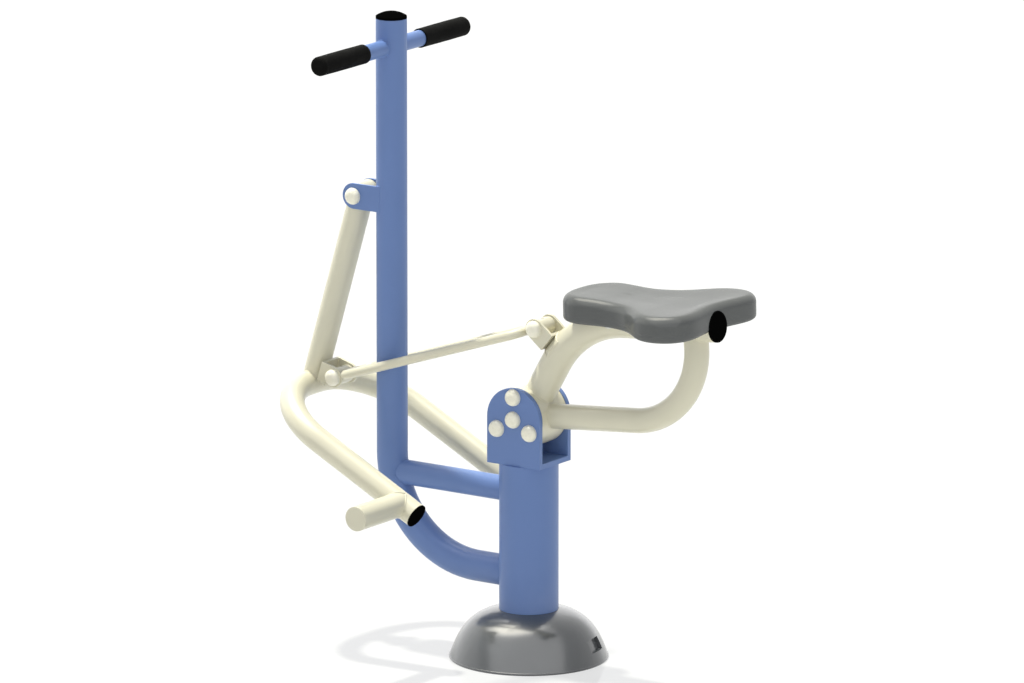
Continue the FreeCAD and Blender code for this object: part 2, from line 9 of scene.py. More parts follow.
# %% Load the model
import json
import math
import bmesh
import bpy
import numpy as np
from mathutils import Matrix, Vector
from mathutils.bvhtree import BVHTree


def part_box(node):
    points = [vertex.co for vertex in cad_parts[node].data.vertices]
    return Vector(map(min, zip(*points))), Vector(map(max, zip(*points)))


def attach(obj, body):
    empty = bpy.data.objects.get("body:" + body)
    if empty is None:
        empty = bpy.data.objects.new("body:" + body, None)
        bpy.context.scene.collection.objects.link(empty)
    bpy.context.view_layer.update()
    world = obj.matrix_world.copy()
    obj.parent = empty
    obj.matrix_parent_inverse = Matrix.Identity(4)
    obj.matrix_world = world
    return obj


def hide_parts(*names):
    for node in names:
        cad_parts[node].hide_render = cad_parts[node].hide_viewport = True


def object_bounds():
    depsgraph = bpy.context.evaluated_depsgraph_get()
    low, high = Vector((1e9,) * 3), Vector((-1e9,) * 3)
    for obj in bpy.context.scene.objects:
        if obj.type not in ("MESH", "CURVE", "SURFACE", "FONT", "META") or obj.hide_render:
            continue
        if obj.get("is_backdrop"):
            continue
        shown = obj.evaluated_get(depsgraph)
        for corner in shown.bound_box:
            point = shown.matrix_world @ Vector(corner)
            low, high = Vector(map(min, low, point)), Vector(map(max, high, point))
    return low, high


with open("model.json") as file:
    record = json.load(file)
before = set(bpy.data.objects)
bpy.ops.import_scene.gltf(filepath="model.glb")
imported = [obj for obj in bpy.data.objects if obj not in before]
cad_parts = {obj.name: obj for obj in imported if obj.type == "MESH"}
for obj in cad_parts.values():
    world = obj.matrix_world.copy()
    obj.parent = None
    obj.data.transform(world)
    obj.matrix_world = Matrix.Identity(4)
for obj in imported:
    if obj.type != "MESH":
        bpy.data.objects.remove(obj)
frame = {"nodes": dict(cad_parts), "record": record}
nodes = frame["nodes"]
model_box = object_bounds()
print("model box in metres:", [[round(v, 3) for v in corner] for corner in model_box])

# %% [markdown]
# ## The sizes that the looks share
# A painter works to the fabricator's drawing. These are the same sizes as in the model, in
# metres, so a cap or a weld lands on its bolt or joint. X runs from the handle post to the
# saddle, Y away from the camera and Z up. What can be read from the model's boxes is read.

# %% Directions and tubes
MM = 0.001
TO_SADDLE = Vector((1.0, 0.0, 0.0))
AWAY = Vector((0.0, 1.0, 0.0))
UP = Vector((0.0, 0.0, 1.0))

post_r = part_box("main_post")[1].x
wide_tube_r = 30 * MM
thin_tube_r = 24 * MM
bar_r = 16 * MM
hub_disc_r = 54 * MM
axle = Vector((0.0, 0.0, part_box("hub_axle")[0].z + hub_disc_r))
handle_x = -320 * MM
bar_z = 1156.5 * MM
print("axle at", [round(v, 4) for v in axle], "main post radius", round(post_r, 4))

# %% Pivots and bends
tilt = math.radians(5.1)
lever_lean = math.radians(16.74)
yoke_drop = math.radians(27.2)
bend_r = 202 * MM
upper_rise = 189 * MM


def moved(start, way, millimetres):
    """The point this far from the start."""
    return start + way * (millimetres * MM)


def tilted(point):
    """Turn a point of the level saddle frame about the axle into the rest pose."""
    return Matrix.Rotation(-tilt, 3, "Y") @ (point - axle) + axle


lever_pivot = Vector((-389.9 * MM, 0.0, 860 * MM))
link_rear = Vector((-440 * MM, 0.0, 495.5 * MM))
link_front = Vector((31.2 * MM, 0.0, 652.5 * MM))
lever_down = Vector((-math.sin(lever_lean), 0.0, -math.cos(lever_lean)))
yoke_along = Vector((math.cos(yoke_drop), 0.0, -math.sin(yoke_drop)))
yoke_rear = moved(lever_pivot, lever_down, 402.8)
bend_level = Vector((236.9 * MM, 0.0, axle.z + upper_rise - bend_r))
bend_centre = tilted(bend_level)
print("yoke's rear centre at", [round(v, 4) for v in yoke_rear])
print("centre of the saddle tube's bend at", [round(v, 4) for v in bend_centre])

# %% [markdown]
# ## Writing node trees like sums
# Blender's materials and Geometry Nodes are trees of small boxes. Placing each box by hand
# hides the idea, so a value that runs along a wire gets its own class here: adding or scaling
# two wires adds a Math node, and one bench method makes any other node. The finish then reads
# almost like the recipe on a tin of paint.

# %% Wires
class Wire:
    """A value in a node tree. Sums, products, ratios and powers add Math nodes."""

    def __init__(self, bench, socket):
        self.bench = bench
        self.socket = socket

    def maths(self, operation, *terms):
        return self.bench.node("ShaderNodeMath", {"operation": operation}, dict(enumerate(terms)))["Value"]

    def __add__(self, other):
        return self.maths("ADD", self, other)

    def __radd__(self, other):
        return self.maths("ADD", other, self)

    def __sub__(self, other):
        return self.maths("SUBTRACT", self, other)

    def __rsub__(self, other):
        return self.maths("SUBTRACT", other, self)

    def __mul__(self, other):
        return self.maths("MULTIPLY", self, other)

    def __rmul__(self, other):
        return self.maths("MULTIPLY", other, self)

    def __truediv__(self, other):
        return self.maths("DIVIDE", self, other)

    def __rtruediv__(self, other):
        return self.maths("DIVIDE", other, self)

    def __pow__(self, other):
        return self.maths("POWER", self, other)

    def __rpow__(self, other):
        return self.maths("POWER", other, self)

    def sine(self):
        return self.maths("SINE", self)

    def cosine(self):
        return self.maths("COSINE", self)

    def at_least(self, other):
        """The larger of the two."""
        return self.maths("MAXIMUM", self, other)


print("a wire can do:", [name.strip("_") for name, item in vars(Wire).items() if callable(item)])

# %% The node bench
class Bench:
    """Makes the nodes of one tree."""

    def __init__(self, tree):
        self.tree = tree

    def find(self, sockets, key):
        """A socket by its number, its identifier or its name."""
        if isinstance(key, int):
            return sockets[key]
        same = [s for s in sockets if s.identifier == key] or [s for s in sockets if s.name == key]
        return same[0]

    def plug(self, socket, value):
        if isinstance(value, Wire):
            self.tree.links.new(value.socket, socket)
        else:
            socket.default_value = value

    def node(self, kind, settings=None, sockets=None):
        """One node: its settings first, then the values or wires of its sockets."""
        made = self.tree.nodes.new(kind)
        for name, value in (settings or {}).items():
            setattr(made, name, value)
        for key, value in (sockets or {}).items():
            self.plug(self.find(made.inputs, key), value)
        return {s.identifier: Wire(self, s) for s in made.outputs}

    def grain(self, place, scale, detail=2.0, rough=0.5):
        """Soft random values, 0 to 1, whose lumps are about 1 / scale metres wide."""
        return self.node("ShaderNodeTexNoise", None,
                         {"Vector": place, "Scale": scale, "Detail": detail, "Roughness": rough})["Fac"]

    def stretch(self, place, factors):
        return self.node("ShaderNodeMapping", None, {"Vector": place, "Scale": factors})["Vector"]

    def between(self, value, low, high):
        """0 below low, 1 above high, a smooth step between."""
        return self.node("ShaderNodeMapRange", {"interpolation_type": "SMOOTHSTEP"},
                         {"Value": value, "From Min": low, "From Max": high})["Result"]

    def tint(self, amount, first, second):
        """Mix two colours."""
        return self.node("ShaderNodeMix", {"data_type": "RGBA"},
                         {"Factor_Float": amount, "A_Color": first, "B_Color": second})["Result_Color"]

    def bump(self, height, depth, under=None):
        """Dents of this depth in metres, on top of another bump if one is given."""
        sockets = {"Height": height, "Distance": depth, "Strength": 1.0}
        if under is not None:
            sockets["Normal"] = under
        return self.node("ShaderNodeBump", None, sockets)["Normal"]


print("a bench can do:", [name.strip("_") for name, item in vars(Bench).items() if callable(item)])

# %% Starting a finish
def new_finish(name):
    """An empty material, its bench, its shader and the object coordinates."""
    finish = bpy.data.materials.new(name)
    finish.use_nodes = True
    bench = Bench(finish.node_tree)
    shader = finish.node_tree.nodes["Principled BSDF"]
    place = bench.node("ShaderNodeTexCoord")["Object"]
    return finish, bench, shader, place


def dress(bench, shader, sockets):
    for key, value in sockets.items():
        bench.plug(shader.inputs[key], value)


def shade(colour, factor):
    """A colour made lighter or darker, with its alpha."""
    return tuple(min(1.0, c * factor) for c in colour[:3]) + (1.0,)


print("half of mid grey:", shade((0.5, 0.5, 0.5, 1.0), 0.5))

# %% [markdown]
# ## Powder coat
# The tubes are sprayed with dry powder and baked. Up close such paint isn't smooth: it has a
# fine orange peel, slow drifts in thickness, rubbed spots on plate edges where the film is
# thin, and dust low down. Noises of very different scale make those, and an attribute called
# edge, which the chamfered plates carry, tells the shader where the corners are.

# %% Powder coat
def powder_coat(name, colour, gloss, clear, peel, shine=0.5):
    """gloss is the roughness, clear the share of clear coat, peel the orange peel's depth."""
    rub_shows, scuff_shows, dust_shows = 0.35, 0.10, 0.10
    dust_colour = (0.62, 0.60, 0.56, 1.0)
    finish, bench, shader, place = new_finish(name)
    drift = bench.grain(place, scale=9.0, detail=3.0)
    cloud = bench.grain(place, scale=60.0, detail=3.0, rough=0.6)
    orange_peel = bench.grain(place, scale=420.0, detail=1.0)
    dimples = bench.grain(place, scale=1300.0, detail=1.0)
    streaks = bench.stretch(place, (140.0, 140.0, 9.0))
    scratches = bench.grain(streaks, scale=3.0, detail=2.0, rough=0.7)
    scuffed = bench.between(scratches, 0.70, 0.80) * bench.between(cloud, 0.45, 0.7)
    edge = bench.node("ShaderNodeAttribute", {"attribute_name": "edge"})["Fac"]
    rubbed = edge * bench.between(cloud, 0.3, 0.7)
    height = bench.node("ShaderNodeSeparateXYZ", None, {"Vector": place})["Z"]
    near_floor = 1.0 - bench.between(height, 0.02, 0.24)
    dust = near_floor * bench.between(drift, 0.3, 0.8) * dust_shows
    base = bench.tint(drift, shade(colour, 0.955), shade(colour, 1.045))
    base = bench.tint(rubbed * rub_shows, base, shade(colour, 1.35))
    base = bench.tint(scuffed * scuff_shows, base, shade(colour, 1.25))
    base = bench.tint(dust, base, dust_colour)
    skin = bench.bump(orange_peel * 0.7 + dimples * 0.3, peel)
    dress(bench, shader, {
        "Base Color": base,
        "Roughness": gloss + cloud * 0.07 + scuffed * 0.10 + rubbed * 0.06,
        "Coat Weight": clear - rubbed * clear * 0.5,
        "Coat Roughness": 0.09,
        "IOR": 1.5,
        "Specular IOR Level": shine,
        "Normal": skin})
    return finish


blue_coat = powder_coat("blue_powder_coat", (0.126, 0.205, 0.443, 1.0),
                        gloss=0.40, clear=0.06, peel=0.011 * MM, shine=0.30)
cream_coat = powder_coat("cream_powder_coat", (0.630, 0.600, 0.472, 1.0),
                         gloss=0.30, clear=0.24, peel=0.010 * MM)
print("powder coats:", blue_coat.name, cream_coat.name)

# %% [markdown]
# ## Moulded plastics
# The saddle is thick moulded plastic with a fine pebble grain that hides scratches, the cover is
# a glossy skin with faint waves from its mould, and the bolt caps and end plugs are small hard
# mouldings. One recipe serves them all, because they differ only in colour, gloss and grain.
# The pebbles are cells: their borders sink, which a plain noise can't do.
# The sunken borders are also painted darker, as painted shade.

# %% Moulded plastics
def moulded(name, colour, gloss, clear, pebbles, pebble_depth, wave_depth, shine=0.5):
    """pebbles says how many lie along a metre; the depths are in metres."""
    border_painted_shade, smear_shows = 0.22, 0.08
    finish, bench, shader, place = new_finish(name)
    flow = bench.grain(place, scale=22.0, detail=2.0)
    haze = bench.grain(place, scale=120.0, detail=3.0, rough=0.6)
    fine = bench.grain(place, scale=2400.0, detail=1.0)
    cells = bench.node("ShaderNodeTexVoronoi", {"feature": "SMOOTH_F1"},
                       {"Vector": place, "Scale": pebbles, "Smoothness": 0.7})["Distance"]
    wiped = bench.stretch(place, (8.0, 60.0, 60.0))
    smears = bench.between(bench.grain(wiped, scale=2.0, detail=3.0), 0.62, 0.82)
    base = bench.tint(flow, shade(colour, 0.94), shade(colour, 1.06))
    # painted shade: the colour darkens in the pebbles' sunken borders
    base = bench.tint(bench.between(cells, 0.25, 0.75) * border_painted_shade, base, shade(colour, 0.80))
    base = bench.tint(smears * smear_shows, base, shade(colour, 1.5))
    waves = bench.bump(flow, wave_depth)
    skin = bench.bump(1.0 - cells + fine * 0.15, pebble_depth, waves)
    dress(bench, shader, {
        "Base Color": base,
        "Roughness": gloss + haze * 0.08 + smears * 0.08,
        "Coat Weight": clear - smears * clear * 0.4,
        "Coat Roughness": 0.17,
        "IOR": 1.5,
        "Specular IOR Level": shine,
        "Normal": skin})
    return finish


saddle_skin = moulded("saddle_grey_moulding", (0.109, 0.113, 0.114, 1.0), gloss=0.42, clear=0.48,
                      pebbles=900.0, pebble_depth=0.008 * MM, wave_depth=0.3 * MM, shine=0.0)
cover_skin = moulded("cover_grey_moulding", (0.042, 0.047, 0.052, 1.0), gloss=0.30, clear=1.0,
                     pebbles=1500.0, pebble_depth=0.004 * MM, wave_depth=0.4 * MM)
# The caps' own cream, set lighter than the paint: part of the lightness is painted light for the stronger
# light on the caps.
cap_cream_with_painted_light = moulded("cap_cream_moulding", (0.840, 0.808, 0.680, 1.0), gloss=0.24, clear=0.30,
                    pebbles=1500.0, pebble_depth=0.004 * MM, wave_depth=0.1 * MM)
plug_black = moulded("plug_black_moulding", (0.0022, 0.0022, 0.0022, 1.0), gloss=0.60, clear=0.0,
                     pebbles=1100.0, pebble_depth=0.02 * MM, wave_depth=0.1 * MM, shine=0.0)
print("mouldings:", saddle_skin.name, cover_skin.name, cap_cream_with_painted_light.name, plug_black.name)

# %% [markdown]
# ## Foam, rubber, steel and bronze
# The grips are closed-cell foam, which is matte and full of tiny pores, whose pits get painted
# shade. Hidden buffers and seals are rubber. Bolts are zinc plated, so their colour drifts
# between bluish and yellowish grey and turning marks run round them. Bushes are sintered bronze.
# Two small recipes cover the four.

# %% Foam and rubber
def foam(name, colour, pore_count, pore_depth):
    """pore_count says how many pores lie along a metre; pore_depth is in metres."""
    finish, bench, shader, place = new_finish(name)
    pores = bench.node("ShaderNodeTexVoronoi", {"feature": "F1"},
                       {"Vector": place, "Scale": pore_count})["Distance"]
    patches = bench.grain(place, scale=35.0, detail=3.0, rough=0.6)
    polished = bench.between(patches, 0.45, 0.75)
    base = bench.tint(patches, shade(colour, 0.75), shade(colour, 1.35))
    # painted shade: the pores' pits are painted darker, down to 0.4 of the colour
    base = bench.tint(bench.between(pores, 0.0, 0.3), shade(colour, 0.4), base)
    swelling = bench.bump(patches, 0.2 * MM)
    skin = bench.bump(bench.between(pores, 0.0, 0.45), pore_depth, swelling)
    dress(bench, shader, {
        "Base Color": base,
        "Roughness": 0.66 - polished * 0.10,
        "IOR": 1.45,
        "Specular IOR Level": 0.035,
        "Normal": skin})
    return finish


grip_foam = foam("grip_foam", (0.0046, 0.0046, 0.0044, 1.0), pore_count=900.0, pore_depth=0.04 * MM)
buffer_rubber = foam("buffer_rubber", (0.012, 0.012, 0.013, 1.0), pore_count=1600.0, pore_depth=0.02 * MM)
print("soft finishes:", grip_foam.name, buffer_rubber.name)

# %% Plated steel and bronze
def plated(name, cool, warm, gloss):
    """The metal's colour drifts between cool and warm."""
    spots_show = 0.3
    finish, bench, shader, place = new_finish(name)
    drift = bench.grain(place, scale=40.0, detail=3.0)
    turning = bench.grain(bench.stretch(place, (1.0, 30.0, 1.0)), scale=60.0, detail=2.0)
    spots = bench.between(bench.grain(place, scale=500.0, detail=2.0), 0.62, 0.75)
    base = bench.tint(drift, cool, warm)
    base = bench.tint(spots * spots_show, base, shade(cool, 0.5))
    dress(bench, shader, {
        "Base Color": base,
        "Metallic": 1.0,
        "Roughness": gloss + turning * 0.15 + spots * 0.2,
        "Normal": bench.bump(turning, 0.03 * MM)})
    return finish


zinc = plated("zinc_plate", (0.50, 0.53, 0.57, 1.0), (0.62, 0.60, 0.50, 1.0), gloss=0.26)
bush_bronze = plated("bush_bronze", (0.58, 0.40, 0.19, 1.0), (0.68, 0.50, 0.26, 1.0), gloss=0.34)
print("metal finishes:", zinc.name, bush_bronze.name)

# %% [markdown]
# ## Painting the model
# Every piece of the model names the finish that its drawing asks for. Handing each slot its new
# material is the painter's whole job here: shapes that are already right stay as they are.

# %% Give every node its finish
finishes = {"blue_paint": blue_coat, "cream_paint": cream_coat, "cream_plastic": cap_cream_with_painted_light,
            "black_plastic": plug_black, "steel": zinc, "black_rubber": buffer_rubber,
            "grip_rubber": grip_foam, "grey_cover": cover_skin, "seat_plastic": saddle_skin,
            "bronze": bush_bronze}
slot_of = {part["node"]: part["material_slot"] for part in frame["record"]["subparts"]}
for name, node in nodes.items():
    for material_slot in node.material_slots:
        material_slot.material = finishes[slot_of[name]]
print("painted:", {slot: sum(1 for s in slot_of.values() if s == slot) for slot in finishes})

# %% [markdown]
# ## Helpers for new pieces
# A new piece needs a mesh, an object at the origin, a finish, the body that it moves with and
# the model node that it stands for, if any. A mesh that Geometry Nodes made is first turned
# into a plain one, because later steps read plain meshes only.

# %% Meshes and objects
def mesh_from(name, points, edges=(), faces=()):
    mesh = bpy.data.meshes.new(name)
    mesh.from_pydata([tuple(p) for p in points], list(edges), list(faces))
    mesh.update()
    return mesh


def tube_faces(rings, sides):
    """The faces that join this many rings of points, one after another, into a tube."""
    faces = []
    for ring in range(rings - 1):
        here, there = ring * sides, (ring + 1) * sides
        for k in range(sides):
            after = (k + 1) % sides
            faces.append((here + k, here + after, there + after, there + k))
    return faces


def new_object(name, mesh):
    piece = bpy.data.objects.new(name, mesh)
    bpy.context.scene.collection.objects.link(piece)
    return piece


def settle(piece):
    """Swap live modifiers for the plain mesh that they make."""
    graph = bpy.context.evaluated_depsgraph_get()
    made = bpy.data.meshes.new_from_object(piece.evaluated_get(graph), depsgraph=graph)
    piece.modifiers.clear()
    piece.data = made
    return piece


print("faces of a tube with 3 rings of 4 points:", len(tube_faces(3, 4)))

# %% Clean and smooth shells
merge_within = 0.02 * MM


def clean_shell(mesh, merge=True):
    """Merge points that coincide, close open ends and turn every face outwards."""
    work = bmesh.new()
    work.from_mesh(mesh)
    if merge:
        bmesh.ops.remove_doubles(work, verts=work.verts, dist=merge_within)
    bmesh.ops.holes_fill(work, edges=[e for e in work.edges if len(e.link_faces) == 1], sides=0)
    bmesh.ops.recalc_face_normals(work, faces=work.faces)
    open_edges = sum(1 for e in work.edges if len(e.link_faces) != 2)
    print(mesh.name, "open edges:", open_edges, "volume:", round(work.calc_volume() * 1e6), "cm3")
    work.to_mesh(mesh)
    work.free()


def smooth_by_angle(mesh, degrees):
    mesh.polygons.foreach_set("use_smooth", [True] * len(mesh.polygons))
    mesh.set_sharp_from_angle(angle=math.radians(degrees))


print("points closer than", merge_within / MM, "mm become one")

# %% Fit a piece to the machine
def fit_piece(piece, body, finish, replaced=()):
    piece.data.materials.clear()
    piece.data.materials.append(finish)
    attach(piece, body)
    if replaced:
        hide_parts(*replaced)
    print(piece.name, "on", body, "faces:", len(piece.data.polygons))


skins = {}


def skin_of(node):
    """The node's triangles, ready for measuring distances and shooting rays."""
    if node not in skins:
        mesh = nodes[node].data
        skins[node] = BVHTree.FromPolygons([v.co for v in mesh.vertices], [p.vertices for p in mesh.polygons])
    return skins[node]


probe = Vector((-200 * MM, 0.0, 300 * MM))
gap = skin_of("main_post").find_nearest(probe)[3]
print("the main post's skin is", round(gap / MM, 1), "mm from x = -200")

# %% Geometry Nodes trees
def new_tree(name, inputs):
    """An empty Geometry Nodes tree with named inputs; gives its bench and its input wires."""
    tree = bpy.data.node_groups.new(name, "GeometryNodeTree")
    tree.interface.new_socket(name="Geometry", in_out="INPUT", socket_type="NodeSocketGeometry")
    tree.interface.new_socket(name="Geometry", in_out="OUTPUT", socket_type="NodeSocketGeometry")
    for label, kind in inputs.items():
        tree.interface.new_socket(name=label, in_out="INPUT", socket_type="NodeSocket" + kind)
    bench = Bench(tree)
    entry = tree.nodes.new("NodeGroupInput")
    wires = {s.name: Wire(bench, s) for s in entry.outputs if s.name}
    return tree, bench, wires


def end_tree(bench, geometry, finish):
    """Smooth, realise and paint the result: the last nodes of every tree here."""
    smooth = bench.node("GeometryNodeSetShadeSmooth", None, {"Geometry": geometry})["Geometry"]
    real = bench.node("GeometryNodeRealizeInstances", None, {"Geometry": smooth})["Geometry"]
    painted = bench.node("GeometryNodeSetMaterial", None, {"Geometry": real, "Material": finish})["Geometry"]
    bench.node("NodeGroupOutput", None, {"Geometry": painted})


def run_tree(piece, tree, values):
    """Give the piece a Geometry Nodes modifier with these named inputs and settle it."""
    modifier = piece.modifiers.new(tree.name, "NODES")
    modifier.node_group = tree
    for item in tree.interface.items_tree:
        if item.item_type == "SOCKET" and item.in_out == "INPUT" and item.name in values:
            modifier[item.identifier] = values[item.name]
    return settle(piece)


print("node groups before the first tree:", len(bpy.data.node_groups))

# %% [markdown]
# ## Plates with broken edges
# The fork, the ears and the small brackets are cut from plate. A fabricator takes the razor edge
# off before painting, and that narrow chamfer is what catches the light in a photograph. The
# model's plates are sharp, so each gets a copy whose loose triangles are merged, whose flat
# areas are joined, and whose sharp edges are cut back by about a millimetre. Edges that are
# welded to the next piece stay as they are, or a gap would open there. The new narrow faces
# also carry the edge attribute that the paint reads.

# %% Chamfered plates
same_point = 0.004 * MM
flat_below = math.radians(0.4)
sharp_above = math.radians(40)
welded_within = 1.5 * MM


def is_loose_corner(edge, weld_skin):
    """A sharp edge that has at most one of its ends and its middle on the weld."""
    if len(edge.link_faces) != 2 or edge.calc_face_angle() <= sharp_above:
        return False
    start, end = (v.co for v in edge.verts)
    welded = [weld_skin.find_nearest(p)[3] < welded_within for p in (start, end, (start + end) / 2)]
    return sum(welded) < 2


def chamfered(name, node, width, welded_to):
    source = nodes[node].data
    copy = mesh_from(name, [v.co for v in source.vertices], (), [tuple(p.vertices) for p in source.polygons])
    work = bmesh.new()
    work.from_mesh(copy)
    bmesh.ops.remove_doubles(work, verts=work.verts, dist=same_point)
    bmesh.ops.dissolve_limit(work, angle_limit=flat_below, verts=work.verts, edges=work.edges)
    mark = work.faces.layers.float.new("edge")
    corners = [e for e in work.edges if is_loose_corner(e, skin_of(welded_to))]
    cut = bmesh.ops.bevel(work, geom=corners, offset=width, segments=1, affect="EDGES", clamp_overlap=True)
    for face in cut["faces"]:
        face[mark] = 1.0
    bmesh.ops.recalc_face_normals(work, faces=work.faces)
    work.to_mesh(copy)
    work.free()
    smooth_by_angle(copy, degrees=28)
    return new_object(name, copy)


for name, node, body, width, paint, welded_to in (
        ("fork_plates", "pivot_fork", "stand", 1.1, blue_coat, "main_post"),
        ("lever_ear_plates", "lever_ears", "stand", 0.7, blue_coat, "handle_post"),
        ("seat_fork_plates", "seat_link_fork", "seat_frame", 0.7, cream_coat, "seat_upper_tube"),
        ("lever_fork_plates", "lever_link_fork", "lever", 0.7, cream_coat, "lever_tube")):
    plates = chamfered(name, node, width * MM, welded_to)
    fit_piece(plates, body, paint, (node,))

# %% [markdown]
# ## Where the welds run
# A weld follows the line where one tube meets another. That line could be worked out by formula
# for two straight cylinders, but here some tubes are bent. So the branch's outline is slid along
# its own direction, as rays, until each point touches the other part's skin. The touching
# points, joined up, are the weld's path. Where a ray misses, the path ends.

# %% Outlines of the branches
def round_outline(radius, steps=90):
    return [(radius * math.cos(math.tau * k / steps), radius * math.sin(math.tau * k / steps))
            for k in range(steps)]


def box_outline(half_side, half_rise, spacing=2 * MM):
    corners = [(x * half_side, y * half_rise) for x, y in ((1, 1), (-1, 1), (-1, -1), (1, -1))]
    points = []
    for start, end in zip(corners, corners[1:] + corners[:1]):
        count = max(2, int(math.dist(start, end) / spacing))
        points += [tuple(a + (b - a) * k / count for a, b in zip(start, end)) for k in range(count)]
    return points


wide_tube = round_outline(wide_tube_r)
thin_tube = round_outline(thin_tube_r)
eye_neck = box_outline(15 * MM, 7.8 * MM)
print("points round a tube:", len(wide_tube), "round a neck of the link's eyes:", len(eye_neck))

# %% Find the weld lines
ray_length = 500 * MM
fewest_points = 6
any_width = 1.0


def weld_lines(centre, along, outline, node, widest=any_width):
    """Runs of touching points; a full run comes back closed. Points past widest in Y are left out."""
    along = along.normalized()
    sideways = abs(along.y) > 0.9
    side = TO_SADDLE if sideways else AWAY
    rise = along.cross(side).normalized()
    hits = []
    for across, up in outline:
        point = skin_of(node).ray_cast(centre + side * across + rise * up, along, ray_length)[0]
        hits.append(None if point is None or abs(point.y) > widest else point)
    if all(h is not None for h in hits):
        return [(hits, True)]
    first = next(k for k, h in enumerate(hits) if h is None)
    runs = [[]]
    for hit in hits[first:] + hits[:first]:
        if hit is None:
            runs.append([])
        else:
            runs[-1].append(hit)
    return [(run, False) for run in runs if len(run) >= fewest_points]


def straight_line(point, direction, half, steps=30):
    """An open line through a point, reaching half its length to each side."""
    return [([point + direction * half * (2 * k / steps - 1) for k in range(steps + 1)], False)]


print("ray test on the main post:",
      [round(v, 4) for v in skin_of("main_post").ray_cast(probe, TO_SADDLE)[0]])

# %% [markdown]
# The joints are listed body by body. Each line gives a point inside the branch, the way to slide
# its outline, the outline and the part that it meets. The stand has its brace, the foot of the
# handle post, the fork, the handlebar and the ears.

# %% Welds of the stand
joints = {"stand": [], "seat_frame": [], "lever": [], "link": []}
brace_mid = Vector((-200 * MM, 0.0, 324 * MM))
post_foot = Vector((-100 * MM, 0.0, 162.5 * MM))
under_fork = Vector((0.0, 0.0, 250 * MM))
behind_ears = Vector((-360 * MM, 0.0, lever_pivot.z))
ear_root, ear_half = 28.6 * MM, 25
ear_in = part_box("lever_ears")[1].y - 5 * MM
ear_outline = ([(y, ear_half * MM) for y in np.linspace(ear_root, ear_in, 12)]
               + [(ear_in, z * MM) for z in np.linspace(ear_half, -ear_half, 26)]
               + [(y, -ear_half * MM) for y in np.linspace(ear_in, ear_root, 12)])

joints["stand"] += weld_lines(brace_mid, TO_SADDLE, thin_tube, "main_post")
joints["stand"] += weld_lines(brace_mid, -TO_SADDLE, thin_tube, "handle_post")
joints["stand"] += weld_lines(post_foot, TO_SADDLE, wide_tube, "main_post")
joints["stand"] += weld_lines(under_fork, UP, round_outline(post_r), "pivot_fork")
for way in (-1, 1):
    inside_bar = Vector((handle_x, -way * 80 * MM, bar_z))
    joints["stand"] += weld_lines(inside_bar, AWAY * way, round_outline(bar_r), "handle_post")
    ear = [(across * way, up) for across, up in ear_outline]
    joints["stand"] += weld_lines(behind_ears, TO_SADDLE, ear, "handle_post")
print("points of the stand's weld lines:", [len(run) for run, closed in joints["stand"]])

# %% [markdown]
# The saddle's frame is two tubes on the hub's drum, joined under the saddle, and the small fork
# that takes the link.

# %% Welds of the saddle's frame
upper_angle = math.radians(55.2) + tilt
upper_out = Vector((math.cos(upper_angle), 0.0, math.sin(upper_angle)))
lower_out = Vector((math.cos(tilt), 0.0, math.sin(tilt)))
lower_up = Vector((-math.sin(tilt), 0.0, math.cos(tilt)))
lower_top = tilted(Vector((399.6 * MM, 0.0, axle.z + 151 * MM)))
seat_fork_out = (bend_centre - link_front).normalized()
fork_foot = box_outline(28 * MM, 19.8 * MM)

joints["seat_frame"] += weld_lines(moved(axle, upper_out, 130), -upper_out, wide_tube, "hub_drum")
joints["seat_frame"] += weld_lines(moved(axle, lower_out, 150), -lower_out, thin_tube, "hub_drum")
joints["seat_frame"] += weld_lines(lower_top, lower_up, thin_tube, "seat_upper_tube")
joints["seat_frame"] += weld_lines(moved(link_front, seat_fork_out, 20), seat_fork_out, fork_foot,
                                   "seat_upper_tube")
print("points of the saddle frame's weld lines:", [len(run) for run, closed in joints["seat_frame"]])

# %% [markdown]
# The foot lever has its pegs, the bracket for the link, the housing at its top and the yoke at
# its foot. The link has the two necks of its eyes.

# %% Welds of the foot lever and the link
housing_half = 19 * MM
inside_tube = round_outline(23.9 * MM)
peg_root = moved(yoke_rear, yoke_along, 363)
bracket_foot = lever_pivot + lever_down * (link_rear - lever_pivot).dot(lever_down)
bracket_out = (link_rear - bracket_foot).normalized()
bracket_edge = moved(bracket_foot, bracket_out, 22.6)
link_out = (link_front - link_rear).normalized()

for way in (-1, 1):
    joints["lever"] += weld_lines(moved(peg_root, AWAY * way, 260), -AWAY * way, thin_tube, "yoke_tube")
    joints["lever"] += straight_line(moved(bracket_edge, AWAY * way, 9), lever_down, 18.5 * MM)
joints["lever"] += weld_lines(moved(lever_pivot, lever_down, 100), -lever_down, thin_tube, "lever_housing",
                              housing_half)
joints["lever"] += weld_lines(moved(lever_pivot, lever_down, 330), lever_down, inside_tube, "yoke_tube")
joints["link"] += weld_lines(moved(link_rear, link_out, 18), link_out, eye_neck, "link_loop")
joints["link"] += weld_lines(moved(link_front, -link_out, 18), -link_out, eye_neck, "link_loop")
for body in ("lever", "link"):
    print("points of the", body + "'s weld lines:", [len(run) for run, closed in joints[body]])

# %% [markdown]
# ## Laying the beads
# A weld bead is a rod of melted metal laid in small steps, so it shows ripples. Geometry Nodes
# fit this well: the path is resampled evenly, a round profile is swept along it, and the
# profile swells and shrinks once per ripple, counted by the length along the path. A bead by
# hand-placed lumps would need thousands of objects. The same tree with no ripple makes any
# plain rolled rim.

